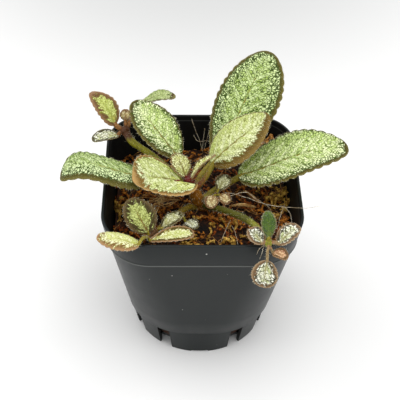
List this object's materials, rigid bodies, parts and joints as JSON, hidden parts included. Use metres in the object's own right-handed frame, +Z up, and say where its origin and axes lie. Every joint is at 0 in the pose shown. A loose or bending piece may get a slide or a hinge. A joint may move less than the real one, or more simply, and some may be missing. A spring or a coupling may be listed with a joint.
{
  "type": "potted flame violet plant",
  "caption": "Young creeping foliage plant with silvery green crinkled leaves and runners, growing in a square plastic nursery pot.",
  "frame": {"origin": "on the pot's axis at the level of its feet, in the middle of the flat pad under the floor", "axes": "+Z up the pot's axis, -Y towards the pictured side, +X to the right of the picture; pot sides parallel to X and Y"},
  "size_m": [0.1106, 0.0903, 0.1049],
  "materials": {
    "pot_plastic": "satin dark grey moulded plastic",
    "moss_fibre": "matted rust-brown moss and coir fibre",
    "stem_red": "hairy reddish plant stem",
    "stem_olive": "hairy olive green plant stem",
    "leaf_silver_green": "pebbled silvery green leaf",
    "leaf_pale_green": "pale yellow-green leaf with brown edge",
    "leaf_brown_green": "young brown and green hairy leaf"
  },
  "bodies": {
    "root": {"back_left_leaf_bud": "leaf_brown_green", "back_left_leaf_curled": "leaf_silver_green", "back_left_leaf_right": "leaf_silver_green", "back_left_leaf_up": "leaf_brown_green", "crown_stem": "stem_red", "front_left_leaf_back": "leaf_brown_green", "front_left_leaf_right": "leaf_pale_green", "front_left_leaf_rim": "leaf_pale_green", "front_left_leaf_silver": "leaf_silver_green", "front_left_leaf_small": "leaf_silver_green", "growing_medium": "moss_fibre", "leaf_back_left": "leaf_silver_green", "leaf_folded": "leaf_pale_green", "leaf_left": "leaf_silver_green", "leaf_pale_back": "leaf_pale_green", "leaf_right": "leaf_silver_green", "leaf_tall_back": "leaf_silver_green", "leaf_young_back": "leaf_pale_green", "leaf_young_right": "leaf_pale_green", "pot": "pot_plastic", "right_leaf_bud": "leaf_brown_green", "right_leaf_hanging": "leaf_silver_green", "right_leaf_left": "leaf_silver_green", "right_leaf_right": "leaf_silver_green", "right_leaf_upright": "leaf_silver_green", "runner_back_left": "stem_olive", "runner_front_left": "stem_olive", "runner_right": "stem_olive", "side_leaf_back": "leaf_silver_green", "side_leaf_front": "leaf_pale_green", "side_leaf_right": "leaf_brown_green", "side_shoot": "stem_olive"}
  },
  "joints": []
}
